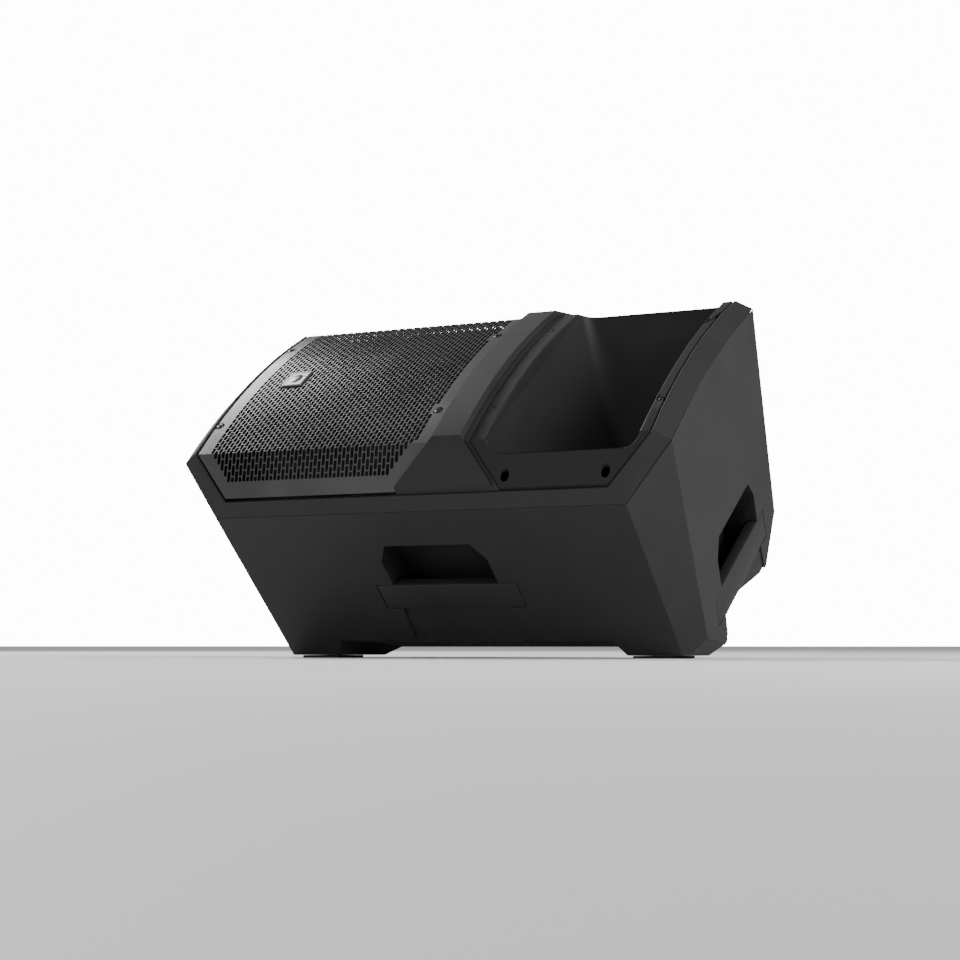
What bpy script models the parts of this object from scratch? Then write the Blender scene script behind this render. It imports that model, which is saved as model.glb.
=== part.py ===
"""Stage monitor wedge: a moulded two-way loudspeaker, lying on its floor facet.

Every piece is drawn in the cabinet's own directions, in millimetres, and hangs
from one empty that leans the cabinet back into its floor position:
    u  along the length, + towards the horn
    v  across the width, + away from the listener, so the near wall is at -v
    n  out of the front, so the rear is at -n
"""

import itertools
import math

import bmesh
import bpy
from mathutils import Matrix, Vector

MM = 0.001

# Cabinet: seam loop between cabinet and front frame, drafts per mm of depth.
LEAN = 36.0
HALF_LENGTH = 294.0
HALF_WIDTH = 178.0
SEAM_RISE = 47.0
SEAM_CROWN = 11.0
CORNER_U = 247.0
CORNER_V = 136.0
SIDE_DRAFT = 0.156
END_DRAFT = 0.118
CORNER_DRAFT = 0.122
CORNER_NORMAL = (0.732, 0.6813)
REAR = -240.0
WALL = 4.0
GAP = 0.3

# Floor facet, feet and the arches between them.
FACET_TOP = (149.0, -185.0)
FACET_LOW = (85.0, -240.0)
FOOT_TOP = (145.6, -208.0)
FOOT_REAR = -243.6
FOOT_BEVEL = 18.0
FOOT_INNER_U = 234.0
FOOT_INNER_V = 62.0
ARCH_HALF = 168.0
FLANK = (0.66, -0.62, 0.42)
END_ARCH = -212.0
END_ARCH_RUN = 18.8
END_ARCH_HALF = 63.7
END_FLANK = (0.916, 0.376, 0.14)
PAD_THICK = 3.0
PAD_U = (184.0, 232.0)
PAD_INSET = 3.0

# Front frame, its inner seam and the crowned front surface.
INNER_U = 231.0
INNER_V = 175.0
INNER_N = 18.0
INNER_END = 277.0
INNER_END_N = 58.6
FRONT_CROWN = 12.0
ARC_STEPS = 8
BAFFLE = (4.0, 9.0)

# Centre bar and the two inserts.
BAR_LEFT = (27.0, -17.0)
BAR_RIGHT = (70.0, 112.0)
BAR_RAISE = 6.5
BAR_SLOPE = 8.0
SHEET = 1.6
SLIT = 0.8
INSET = (4.2, 5.0)

# Woofer, about an axis along n.
WOOFER = (-124.0, 0.0)
RIM_RADIUS = 148.0
BAFFLE_HOLE = 138.0
CONE_RADIUS = 108.0
NECK_RADIUS = 32.8
TURNS = 36

# Bass port, one at each left corner.
PORT = (-237.0, 125.0)
PORT_RADIUS = 14.0

# Horn, about an axis along n.
HORN = (176.0, 0.0)
THROAT = -75.0
THROAT_RADIUS = 18.0
HORN_WALL = 3.5

# Handles: the opening, then the flush grip below it.
OPENING = ((-51.7, 0.0), (51.7, 0.0), (64.2, -21.0), (64.8, -90.0), (-64.8, -90.0), (-64.2, -21.0))
GRIP_HALF = 86.0
GRIP_N = (-56.0, -90.0)
GRIP_THICK = 14.0
POCKET_DEPTH = 42.0
HANDLE_TOP = {"near": -47.0, "far": -47.0, "right": -122.0}

# Rear panel and what is on it, in u, v.
PANEL = (-40.0, 0.0)
PANEL_SIZE = (300.0, 140.0)
LEDGE = -222.0
PANEL_FACE = -226.8
PANEL_BACK = -223.8
INPUTS = {"input_1": (-165.0, 30.0), "input_2": (-125.0, 30.0)}
OUTPUT = (-85.0, 30.0)
ENCODER = (-15.0, -28.0)
DISPLAY = (-15.0, 28.0)
SWITCH = (75.0, -30.0)
INLET = (75.0, 32.0)

# Pole cup and end feet, on the left end.
POLE_N = -150.0
POLE_RADIUS = 18.0
END_FEET = ((-95.0, 22.0), (95.0, 22.0), (-84.0, -190.0), (84.0, -190.0))
END_FOOT = (14.0, 4.0)

# Screws: place in u, v.
GRILLE_SCREWS = ((11.0, -82.0), (11.0, 82.0), (-268.0, -87.0), (-268.0, 87.0))
HORN_SCREWS = ((78.0, -85.0), (78.0, 85.0), (269.3, -85.0), (269.3, 85.0))
DEEP_SCREWS = ((114.0, -162.0), (227.0, -162.0), (114.0, 162.0), (227.0, 162.0))

# Where the frame's corner of reference lies once the cabinet leans back.
SHIFT_U = 0.702
SHIFT_Y = -43.296
SHIFT_Z = 256.857


def front_n(v):
    """Height of the crowned front over the width."""
    if abs(v) <= CORNER_V:
        return INNER_END_N + FRONT_CROWN * (1.0 - (v / CORNER_V) ** 2)
    share = (abs(v) - CORNER_V) / (INNER_V - CORNER_V)
    return INNER_END_N + share * (INNER_N - INNER_END_N)


def side_at(n):
    return HALF_WIDTH + SIDE_DRAFT * n


def end_at(n):
    return HALF_LENGTH + END_DRAFT * (n - SEAM_RISE)


def stations(edge):
    """Widths at which lofts over the front take a section."""
    arc = [CORNER_V * (2.0 * i / ARC_STEPS - 1.0) for i in range(ARC_STEPS + 1)]
    return [-edge] + arc + [edge]


# ---------------------------------------------------------------- tools


for old in list(bpy.data.objects):
    bpy.data.objects.remove(old, do_unlink=True)

lean = bpy.data.objects.new("cabinet_lean", None)
bpy.context.scene.collection.objects.link(lean)
lean.location = (SHIFT_U * MM, SHIFT_Y * MM, SHIFT_Z * MM)
lean.rotation_euler = (math.radians(LEAN), 0.0, 0.0)


def material(name, colour, roughness, metallic=0.0):
    made = bpy.data.materials.new(name)
    made.use_nodes = True
    shader = made.node_tree.nodes["Principled BSDF"]
    shader.inputs["Base Color"].default_value = (*colour, 1.0)
    shader.inputs["Roughness"].default_value = roughness
    shader.inputs["Metallic"].default_value = metallic
    return made


def skin(rings, loop=False):
    """A closed surface through rings of equal count, capped or joined round."""
    bm = bmesh.new()
    rows = [[bm.verts.new(point) for point in ring] for ring in rings]
    pairs = list(zip(rows, rows[1:]))
    if loop:
        pairs.append((rows[-1], rows[0]))
    else:
        bm.faces.new(rows[0])
        bm.faces.new(rows[-1])
    count = len(rows[0])
    for low, high in pairs:
        for i in range(count):
            j = (i + 1) % count
            bm.faces.new((low[i], low[j], high[j], high[i]))
    bmesh.ops.recalc_face_normals(bm, faces=bm.faces)
    return bm


def hull(points):
    bm = bmesh.new()
    for point in points:
        bm.verts.new(point)
    made = bmesh.ops.convex_hull(bm, input=bm.verts)
    loose = [v for v in made["geom_interior"] + made["geom_unused"] if isinstance(v, bmesh.types.BMVert)]
    bmesh.ops.delete(bm, geom=loose, context="VERTS")
    bmesh.ops.dissolve_limit(bm, angle_limit=0.002, verts=bm.verts, edges=bm.edges)
    bmesh.ops.recalc_face_normals(bm, faces=bm.faces)
    return bm


def bounded(planes):
    """The convex body inside planes given as (normal, distance)."""
    points = []
    for trio in itertools.combinations(planes, 3):
        rows = Matrix([normal for normal, _ in trio])
        if abs(rows.determinant()) < 1e-6:
            continue
        point = rows.inverted() @ Vector([distance for _, distance in trio])
        if all(Vector(normal).dot(point) <= distance + 1e-4 for normal, distance in planes):
            if all((point - other).length > 0.01 for other in points):
                points.append(point)
    return hull(points)


def box(u, v, n):
    """A block between two values on each direction."""
    return skin([[(u[i], v[j], level) for i, j in ((0, 0), (1, 0), (1, 1), (0, 1))] for level in n])


def circle(centre, radius, n, sides):
    turn = [2.0 * math.pi * i / sides for i in range(sides)]
    return [(centre[0] + radius * math.cos(a), centre[1] + radius * math.sin(a), n) for a in turn]


def turned(centre, profile, sides=TURNS, loop=False):
    """A body turned about an axis along n from (radius, n) points."""
    return skin([circle(centre, radius, n, sides) for radius, n in profile], loop)


def add(name, bm, finish=None, origin=(0.0, 0.0, 0.0)):
    bm.transform(Matrix.Translation(-Vector(origin)))
    bm.transform(Matrix.Scale(MM, 4))
    mesh = bpy.data.meshes.new(name)
    bm.to_mesh(mesh)
    bm.free()
    mesh.shade_smooth()
    mesh.set_sharp_from_angle(angle=math.radians(35))
    made = bpy.data.objects.new(name, mesh)
    bpy.context.scene.collection.objects.link(made)
    made.parent = lean
    made.location = Vector(origin) * MM
    if finish is None:
        made.hide_render = True
        made.display_type = "WIRE"
    else:
        mesh.materials.append(finish)
    return made


def combine(target, operation, *shapes):
    """Boolean modifiers on the target, each with a hidden helper."""
    for bm in shapes:
        helper = bm if isinstance(bm, bpy.types.Object) else add(target.name + "_helper", bm)
        step = target.modifiers.new(helper.name, "BOOLEAN")
        step.operation = operation
        step.object = helper
        step.solver = "EXACT"


def cut(target, *shapes):
    combine(target, "DIFFERENCE", *shapes)


def join(target, *shapes):
    combine(target, "UNION", *shapes)


def round_edges(target, width, segments=2):
    step = target.modifiers.new("edges", "BEVEL")
    step.width = width * MM
    step.segments = segments
    step.limit_method = "ANGLE"
    step.angle_limit = math.radians(40)


def wall_point(wall, along, n, depth):
    if wall in ("near", "far"):
        v = side_at(n) - depth
        return (along, -v if wall == "near" else v, n)
    u = end_at(n) - depth
    return (u if wall == "right" else -u, along, n)


def wall_block(wall, outline, outer, inner):
    """A block set into a drafted wall, between two depths below its surface."""
    return skin([[wall_point(wall, a, n, depth) for a, n in outline] for depth in (outer, inner)])


def upright(outline, low, high):
    return skin([[(u, v, n) for u, v in outline] for n in (low, high)])


def frame_loop(u_side, v_side, n_side, u_end, v_end, n_end, crown, draft=0.0):
    """One closed loop round the front: straight long sides, arched ends."""
    right = [(u_side, -v_side, n_side)]
    for i in range(ARC_STEPS + 1):
        v = v_end * (2.0 * i / ARC_STEPS - 1.0)
        rise = crown * (1.0 - (v / v_end) ** 2)
        right.append((u_end + draft * rise, v, n_end + rise))
    right.append((u_side, v_side, n_side))
    return right + [(-u, -v, n) for u, v, n in right]


def over_front(left, right, edge, top, under):
    """A loft across the width whose section runs from left to right in u."""
    rings = []
    for v in stations(edge):
        share = max(0.0, (abs(v) - CORNER_V) / (INNER_V - CORNER_V))
        u0 = left[0] + share * (left[1] - left[0])
        u1 = right[0] + share * (right[1] - right[0])
        high = front_n(v) + top
        rings.append([(u0, v, under(high)), (u1, v, under(high)), (u1, v, high), (u0, v, high)])
    return skin(rings)


# ---------------------------------------------------------------- finishes

textured_black = material("textured_black_moulding", (0.018, 0.018, 0.019), 0.62)
horn_black = material("horn_black_moulding", (0.014, 0.014, 0.015), 0.6)
grille_black = material("grille_powder_coat", (0.05, 0.052, 0.052), 0.38, 0.6)
silver = material("brushed_badge", (0.5, 0.5, 0.5), 0.35, 1.0)
screw_black = material("blackened_steel", (0.03, 0.03, 0.03), 0.4, 1.0)
rubber = material("black_rubber", (0.02, 0.02, 0.02), 0.85)
basket_grey = material("painted_basket", (0.04, 0.04, 0.042), 0.5, 0.4)
ferrite = material("ferrite", (0.06, 0.06, 0.065), 0.7)
zinc = material("zinc_plated_steel", (0.55, 0.55, 0.52), 0.35, 1.0)
copper = material("copper_coil", (0.6, 0.28, 0.12), 0.4, 1.0)
paper = material("coated_paper", (0.03, 0.03, 0.03), 0.8)
cloth = material("treated_cloth", (0.35, 0.25, 0.12), 0.9)
foam = material("closed_cell_foam", (0.02, 0.02, 0.02), 0.95)
aluminium = material("cast_aluminium", (0.5, 0.5, 0.5), 0.5, 1.0)
panel_black = material("painted_panel", (0.02, 0.02, 0.02), 0.45, 0.3)
board_green = material("circuit_board", (0.02, 0.12, 0.05), 0.5)
display_glass = material("display_window", (0.01, 0.02, 0.03), 0.08)
nickel = material("nickel_sockets", (0.45, 0.45, 0.43), 0.3, 1.0)
knob_black = material("soft_touch_knob", (0.025, 0.025, 0.025), 0.55)


# ---------------------------------------------------------------- cabinet


def wall_planes(inset, top):
    """Drafted sides, ends and corners of the cabinet, moved in by an inset."""
    a, b = CORNER_NORMAL
    planes = [((0.0, 0.0, 1.0), top)]
    for sign in (-1.0, 1.0):
        planes.append(((0.0, sign, -SIDE_DRAFT), HALF_WIDTH - inset))
        planes.append(((sign, 0.0, -END_DRAFT), end_at(0.0) - inset))
        for other in (-1.0, 1.0):
            reach = a * CORNER_U + b * HALF_WIDTH
            planes.append(((sign * a, other * b, -CORNER_DRAFT), reach - inset))
    return planes


def facet_line():
    """Outward direction and reach of the facet between the feet, in (v, n)."""
    out = Vector((FACET_TOP[1] - FACET_LOW[1], FACET_LOW[0] - FACET_TOP[0])).normalized()
    return out, out.dot(Vector(FACET_TOP))


def arch_line():
    """Outward direction and reach of the end arch, in (u, n)."""
    out = Vector((END_ARCH - REAR, -END_ARCH_RUN)).normalized()
    return out, out.dot(Vector((end_at(END_ARCH), END_ARCH)))


def outer_body():
    """The cabinet with its floor planes running right through, before the arches."""
    floor = Vector((math.sin(math.radians(LEAN)), -math.cos(math.radians(LEAN))))
    reach = floor.dot(Vector(FOOT_TOP))
    edge = math.sqrt(0.5)
    planes = wall_planes(0.0, 100.0) + [((0.0, 0.0, -1.0), -FOOT_REAR)]
    for side in (-1.0, 1.0):
        planes.append(((0.0, side * floor[0], floor[1]), reach))
        for end in (-1.0, 1.0):
            bevel = (end * edge, side * edge * floor[0], edge * floor[1])
            planes.append((bevel, edge * (end_at(-200.0) + reach - FOOT_BEVEL)))
    return bounded(planes)


def side_arch(side):
    """The space between two feet on one side, widest at the near edge."""
    out, reach = facet_line()
    flank = Vector(FLANK)
    flank_at = flank.dot(Vector((ARCH_HALF, FACET_TOP[0], FACET_TOP[1])))
    planes = [
        ((0.0, -side * out[0], -out[1]), -reach),
        ((0.0, side, 0.0), 200.0),
        ((0.0, 0.0, -1.0), 262.0),
    ]
    for end in (-1.0, 1.0):
        planes.append(((end * flank[0], side * flank[1], flank[2]), flank_at))
    return bounded(planes)


def end_arch(end):
    """The space between two feet on one end."""
    out, reach = arch_line()
    planes = [
        ((-end * out[0], 0.0, -out[1]), -reach),
        ((end, 0.0, 0.0), 300.0),
        ((0.0, 0.0, -1.0), 262.0),
    ]
    flank = Vector(END_FLANK)
    flank_at = Vector((-flank[0], flank[1], flank[2])).dot(Vector((end_at(END_ARCH), END_ARCH_HALF, END_ARCH)))
    for side in (-1.0, 1.0):
        planes.append(((-end * flank[0], side * flank[1], flank[2]), flank_at))
    return bounded(planes)


def inner_body():
    """The cabinet's inside, open towards the front."""
    planes = wall_planes(WALL, 110.0) + [((0.0, 0.0, -1.0), -REAR - WALL)]
    facet, facet_at = facet_line()
    arch, arch_at = arch_line()
    for sign in (-1.0, 1.0):
        planes.append(((0.0, sign * facet[0], facet[1]), facet_at - WALL))
        planes.append(((sign * arch[0], 0.0, arch[1]), arch_at - WALL))
    return bounded(planes)


def above_seam():
    """Everything in front of the seam between cabinet and front frame."""
    across = [-260.0] + [CORNER_V * (2.0 * i / ARC_STEPS - 1.0) for i in range(ARC_STEPS + 1)] + [260.0]

    def seam(u, v):
        share = min(1.0, max(0.0, (abs(u) - CORNER_U) / (HALF_LENGTH - CORNER_U)))
        return share * (SEAM_RISE + SEAM_CROWN * max(0.0, 1.0 - (v / CORNER_V) ** 2))

    rings = []
    for u in (-340.0, -HALF_LENGTH, -CORNER_U, CORNER_U, HALF_LENGTH, 340.0):
        rings.append([(u, v, seam(u, v)) for v in across] + [(u, 260.0, 160.0), (u, -260.0, 160.0)])
    return skin(rings)


def handle_outline(top, half, high, low):
    return [(-half, top + high), (half, top + high), (half, top + low), (-half, top + low)]


def opening_outline(top):
    return [(a, top + n) for a, n in OPENING]


def make_cabinet():
    shell = add("cabinet_shell", outer_body(), textured_black)
    cut(shell, side_arch(-1.0), side_arch(1.0), end_arch(-1.0), end_arch(1.0))
    cut(shell, box((-FOOT_INNER_U, FOOT_INNER_U), (-FOOT_INNER_V, FOOT_INNER_V), (-258.0, REAR)))

    inside = add("cabinet_inside", inner_body())
    for wall, top in HANDLE_TOP.items():
        cut(inside, wall_block(wall, handle_outline(top, 91.0, 5.0, -95.0), -8.0, POCKET_DEPTH + WALL))
    half_u, half_v = PANEL_SIZE[0] / 2.0 + 8.0, PANEL_SIZE[1] / 2.0 + 8.0
    cut(inside, box((PANEL[0] - half_u, PANEL[0] + half_u), (-half_v, half_v), (REAR, LEDGE + 5.0)))
    cut(inside, sideways_disc(46.0, 260.0, 300.0))

    cut(shell, inside, above_seam())
    for wall, top in HANDLE_TOP.items():
        cut(shell, wall_block(wall, opening_outline(top), -12.0, POCKET_DEPTH))
        seat = handle_outline(top, GRIP_HALF + GAP, -55.7, -90.3)
        cut(shell, wall_block(wall, seat, -12.0, GRIP_THICK + GAP))
        lower = [(-65.0, top - 80.0), (65.0, top - 80.0), (72.0, top - 150.0), (-72.0, top - 150.0)]
        cut(shell, wall_block(wall, lower, -14.0, 3.0))
    half_u, half_v = PANEL_SIZE[0] / 2.0 + GAP, PANEL_SIZE[1] / 2.0 + GAP
    cut(shell, box((PANEL[0] - half_u, PANEL[0] + half_u), (-half_v, half_v), (REAR - 6.0, LEDGE)))
    cut(shell, box((PANEL[0] - half_u + 10.0, PANEL[0] + half_u - 10.0), (10.0 - half_v, half_v - 10.0),
                   (LEDGE - 1.0, LEDGE + 12.0)))
    cut(shell, sideways_disc(38.3, 264.0, 300.0), sideways_disc(23.3, 245.0, 275.0))
    return shell


def sideways_disc(radius, near, far):
    """A round block along -u about the pole cup's axis."""
    ring = circle((0.0, 0.0), radius, 0.0, 32)
    return skin([[(-u, v, n + POLE_N) for v, n, _ in ring] for u in (near, far)])


def make_handles():
    for wall, top in HANDLE_TOP.items():
        outline = handle_outline(top, GRIP_HALF, GRIP_N[0], GRIP_N[1])
        grip = add(wall + "_handle_grip", wall_block(wall, outline, 0.0, GRIP_THICK), textured_black)
        round_edges(grip, 2.0)


def make_feet():
    floor_u = Vector((math.cos(math.radians(LEAN)), math.sin(math.radians(LEAN))))
    out = Vector((math.sin(math.radians(LEAN)), -math.cos(math.radians(LEAN))))
    top = Vector(FOOT_TOP)
    reach = (top[1] - FOOT_REAR) / floor_u[1]
    for side, side_name in ((-1.0, "near"), (1.0, "far")):
        for end, end_name in ((-1.0, "left"), (1.0, "right")):
            low = top - floor_u * PAD_INSET
            high = top - floor_u * (reach - PAD_INSET)
            section = [low + out * GAP, high + out * GAP, high + out * PAD_THICK, low + out * PAD_THICK]
            rings = [[(end * u, side * p[0], p[1]) for p in section] for u in PAD_U]
            add(f"{side_name}_{end_name}_floor_pad", skin(rings), rubber)
    radius, thick = END_FOOT
    for i, (v, n) in enumerate(END_FEET):
        outline = [(v + a, n + b) for a, b, _ in circle((0.0, 0.0), radius, 0.0, 12)]
        add(f"end_foot_{i + 1}", wall_block("left", outline, -thick, -GAP), rubber)


def make_pole_cup():
    rings = []
    outer = POLE_RADIUS + 4.5
    for radius, u in ((POLE_RADIUS, 197.0), (POLE_RADIUS, 268.0), (37.8, 268.0), (37.8, 264.3),
                      (outer, 264.3), (outer, 193.0)):
        rings.append([(-u, v, n + POLE_N) for v, n, _ in circle((0.0, 0.0), radius, 0.0, 32)])
    add("pole_socket", skin(rings), aluminium)


# ---------------------------------------------------------------- front frame


def post(centre, radius, low, high):
    return turned(centre, ((radius, low), (radius, high)), 12)


def make_front():
    lift = GAP
    loops = [
        frame_loop(CORNER_U, HALF_WIDTH, lift, HALF_LENGTH, CORNER_V, SEAM_RISE + lift, SEAM_CROWN,
                   END_DRAFT),
        frame_loop(INNER_U, INNER_V, INNER_N, INNER_END, CORNER_V, INNER_END_N, FRONT_CROWN),
        frame_loop(INNER_U - 1.5, INNER_V - 2.4, INNER_N, INNER_END - 2.2, CORNER_V - 1.0, INNER_END_N,
                   FRONT_CROWN),
        frame_loop(INNER_U - 3.0, 170.5, 3.0, INNER_END - 4.0, CORNER_V - 3.0, 3.0, 0.0),
        frame_loop(INNER_U, 173.3, 3.0, INNER_END + 1.5, CORNER_V - 2.0, 3.0, 0.0),
        frame_loop(CORNER_U - 4.0, 173.7, lift, HALF_LENGTH - 5.0, CORNER_V - 3.0, SEAM_RISE - 0.8,
                   SEAM_CROWN),
    ]
    frame = add("front_baffle", skin(loops, loop=True), textured_black)
    plate = frame_loop(INNER_U - 1.5, 172.0, 0.0, INNER_END - 1.5, CORNER_V - 2.5, 0.0, 0.0)
    plate = add("baffle_plate", skin([[(u, v, level) for u, v, _ in plate] for level in BAFFLE]))
    for side in (-1.0, 1.0):
        hole = PORT_RADIUS + 2.4
        cut(plate, turned((PORT[0], side * PORT[1]), ((hole, -3.0), (hole, 12.0)), 24))
    cut(plate, turned(WOOFER, ((BAFFLE_HOLE, -3.0), (BAFFLE_HOLE, 20.0))))
    cut(plate, box((HORN[0] - 92.0, HORN[0] + 91.0), (-141.0, 141.0), (BAFFLE[0] - 3.0, BAFFLE[1] + 3.0)))
    join(frame, plate)

    bar = over_front(BAR_LEFT, (BAR_RIGHT[0] - BAR_SLOPE, BAR_RIGHT[1] - BAR_SLOPE), 172.0, BAR_RAISE,
                     lambda high: BAFFLE[0] + 1.0)
    shoulder = over_front((BAR_LEFT[0] + 5.0, BAR_LEFT[1] + 5.0), BAR_RIGHT, 172.0, -0.4,
                          lambda high: BAFFLE[0] + 1.5)
    hollow = over_front((BAR_LEFT[0] + 4.0, BAR_LEFT[1] + 8.0), (BAR_RIGHT[0] - 12.0, BAR_RIGHT[1] - 16.0),
                        166.0, BAR_RAISE - 5.0, lambda high: 0.0)
    join(frame, bar, shoulder)
    for place in GRILLE_SCREWS:
        join(frame, post(place, 5.0, BAFFLE[0] + 1.0, front_n(place[1]) - SHEET - GAP - 1.2))
    for place in HORN_SCREWS:
        join(frame, post(place, 3.4, BAFFLE[0] + 1.0, front_n(place[1]) - 5.0 - GAP - 1.0))
    cut(frame, hollow)
    for place in GRILLE_SCREWS:
        cut(frame, post(place, 2.1, front_n(place[1]) - 18.0, front_n(place[1]) + 10.0))
    for place in HORN_SCREWS:
        cut(frame, post(place, 1.6, front_n(place[1]) - 20.0, front_n(place[1]) + 2.0))
    for place in DEEP_SCREWS:
        cut(frame, post(place, 2.2, 0.0, 12.0))
    return frame


def make_ports():
    for side, name in ((-1.0, "near"), (1.0, "far")):
        r = PORT_RADIUS
        profile = ((r + 4.0, 9.3), (r + 4.0, 11.5), (r, 11.5), (r, -80.0), (r + 2.0, -80.0), (r + 2.0, 9.3))
        add(name + "_port_tube", turned((PORT[0], side * PORT[1]), profile, 24, loop=True), horn_black)


def make_grille():
    left = (-INNER_END + INSET[0], -INNER_U + INSET[1])
    right = (BAR_LEFT[0] - SLIT, BAR_LEFT[1] - SLIT)
    sheet = over_front(left, right, 171.6, -0.4, lambda high: high - SHEET)
    grille = add("woofer_grille", sheet, grille_black)
    for place in GRILLE_SCREWS:
        cut(grille, post(place, 2.4, 30.0, 90.0))
    return grille


def screw(name, place, seat, head, shank, length):
    """A pan-head screw along n whose head rests at the seat height."""
    profile = ((shank, seat - length), (shank, seat + GAP), (head, seat + GAP), (head, seat + GAP + 1.2),
               (head * 0.72, seat + GAP + 2.2))
    return add(name, turned(place, profile, 12), screw_black)


def make_screws():
    for i, place in enumerate(GRILLE_SCREWS):
        screw(f"grille_screw_{i + 1}", place, front_n(place[1]) + 0.3, 4.6, 1.8, 14.0)
    for i, place in enumerate(HORN_SCREWS):
        screw(f"horn_screw_{i + 1}", place, front_n(place[1]) - 2.6, 2.9, 1.3, 15.0)
    for i, place in enumerate(DEEP_SCREWS):
        screw(f"horn_deep_screw_{i + 1}", place, 17.0, 4.2, 1.9, 15.5)


def make_badge():
    n = front_n(0.0) + 0.1
    outline = [(-226.0, -15.0), (-197.0, -15.0), (-197.0, 20.0), (-226.0, 20.0)]
    badge = add("grille_badge", upright(outline, n, n + 1.8), silver)
    round_edges(badge, 0.5, 1)


# ---------------------------------------------------------------- horn


def horn_section(n, half_u, half_v, corner, steps=4):
    """A rounded rectangle about the horn's axis; a full corner gives a circle."""
    points = []
    for k, (su, sv) in enumerate(((1, -1), (1, 1), (-1, 1), (-1, -1))):
        for i in range(steps + 1):
            angle = math.radians(-90.0 + 90.0 * k + 90.0 * i / steps)
            points.append((
                HORN[0] + su * (half_u - corner) + corner * math.cos(angle),
                HORN[1] + sv * (half_v - corner) + corner * math.sin(angle),
                n,
            ))
    return points


HORN_FLARE = (
    # n, half width in u, half width in v, corner radius
    (92.0, 89.0, 151.0, 10.0),
    (58.0, 86.0, 150.0, 12.0),
    (30.0, 80.0, 141.0, 20.0),
    (0.0, 64.0, 112.0, 26.0),
    (-30.0, 42.0, 68.0, 26.0),
    (-55.0, 25.0, 33.0, 20.0),
    (THROAT, THROAT_RADIUS, THROAT_RADIUS, THROAT_RADIUS - 0.2),
)


def make_horn():
    left = (BAR_RIGHT[0] + SLIT, BAR_RIGHT[1] + SLIT)
    right = (INNER_END - INSET[0], INNER_U - INSET[1])
    face = over_front(left, right, 171.4, -0.4, lambda high: high - 5.0)
    horn = add("horn_waveguide", face, horn_black)
    outer = []
    for n, half_u, half_v, corner in HORN_FLARE:
        outer.append(horn_section(n, half_u + HORN_WALL, half_v + HORN_WALL, corner + HORN_WALL))
    flare = add("horn_flare", skin(outer))
    cut(flare, over_front((40.0, 40.0), (300.0, 300.0), 172.0, -1.2, lambda high: high + 60.0))
    join(horn, flare, turned(HORN, ((44.0, THROAT), (44.0, THROAT + 6.0)), 32))
    for place in DEEP_SCREWS:
        join(horn, post(place, 6.4, BAFFLE[1] + GAP, 20.0))
    inner = [horn_section(*station) for station in HORN_FLARE]
    inner.append(horn_section(THROAT - 5.0, THROAT_RADIUS, THROAT_RADIUS, THROAT_RADIUS - 0.2))
    cut(horn, skin(inner))
    for place in HORN_SCREWS:
        cut(horn, post(place, 1.8, 40.0, 90.0), post(place, 3.3, front_n(place[1]) - 2.6, 90.0))
    for place in DEEP_SCREWS:
        cut(horn, post(place, 2.2, 0.0, 40.0), post(place, 5.2, 17.0, 60.0))
    return horn


def make_driver():
    seat = THROAT - GAP
    body = ((15.0, seat), (42.0, seat), (42.0, seat - 14.0), (46.0, seat - 16.0), (46.0, seat - 36.0),
            (38.0, seat - 40.0), (15.0, seat - 40.0))
    add("compression_driver_body", turned(HORN, body, 32, loop=True), ferrite)
    low = seat - 40.0 - GAP
    cap = turned(HORN, ((12.0, low - 13.0), (34.0, low - 10.0), (36.0, low)), 32)
    add("compression_driver_cap", cap, panel_black)


# ---------------------------------------------------------------- woofer


def cone_n(radius):
    return -44.0 + 55.0 * (radius - NECK_RADIUS) / (CONE_RADIUS - NECK_RADIUS)


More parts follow.
